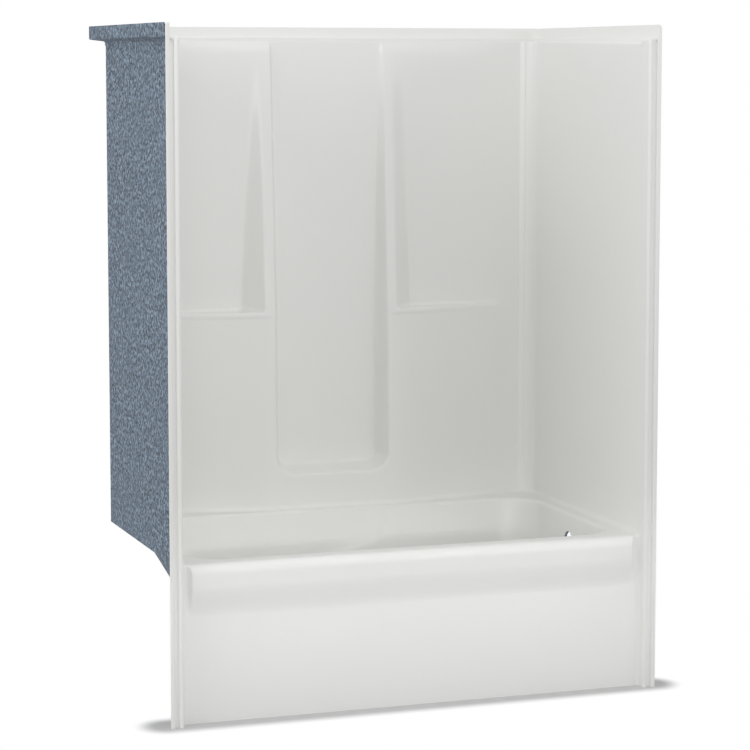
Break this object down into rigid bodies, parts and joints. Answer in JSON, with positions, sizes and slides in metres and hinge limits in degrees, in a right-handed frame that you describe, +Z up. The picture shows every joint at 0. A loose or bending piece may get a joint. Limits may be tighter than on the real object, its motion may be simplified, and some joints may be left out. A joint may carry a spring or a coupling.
{
  "type": "tub and shower combo",
  "caption": "Alcove bath and shower in one moulded shell: deep basin with apron, three walls with two shelf niches and a recessed channel, and nailing flanges.",
  "frame": {"origin": "on the floor under the centre of the footprint", "axes": "+X runs to the right towards the drain end, +Y towards the back wall, +Z up"},
  "size_m": [1.524, 0.94, 2.01],
  "materials": {
    "gel_coat": "gloss white gel coat",
    "fibre_backing": "rough blue-grey glass fibre, speckled",
    "core_board": "raw board",
    "timber": "raw softwood"
  },
  "bodies": {
    "root": {"back_channel": "gel_coat", "back_lower_wall": "gel_coat", "left_niche": "gel_coat", "right_niche": "gel_coat", "back_wall_backing": "fibre_backing", "left_corner_backing": "fibre_backing", "right_corner_backing": "fibre_backing", "left_wall_face": "gel_coat", "left_wall_core": "core_board", "left_wall_backing": "fibre_backing", "right_wall_face": "gel_coat", "right_wall_core": "core_board", "right_wall_backing": "fibre_backing", "left_corner_cove": "gel_coat", "right_corner_cove": "gel_coat", "left_front_column": "gel_coat", "right_front_column": "gel_coat", "left_nail_flange": "gel_coat", "right_nail_flange": "gel_coat", "top_flange": "gel_coat", "top_flange_backing": "fibre_backing", "top_ledge": "gel_coat", "tub_deck": "gel_coat", "basin_floor": "gel_coat", "basin_backrest": "gel_coat", "basin_drain_end": "gel_coat", "basin_front_wall": "gel_coat", "basin_rear_wall": "gel_coat", "tub_backing": "fibre_backing", "apron_face": "gel_coat", "apron_backing": "fibre_backing", "bottom_board": "core_board", "floor_runners": "timber", "apron_stiffeners": "core_board", "front_rim_batten": "timber"}
  },
  "joints": []
}
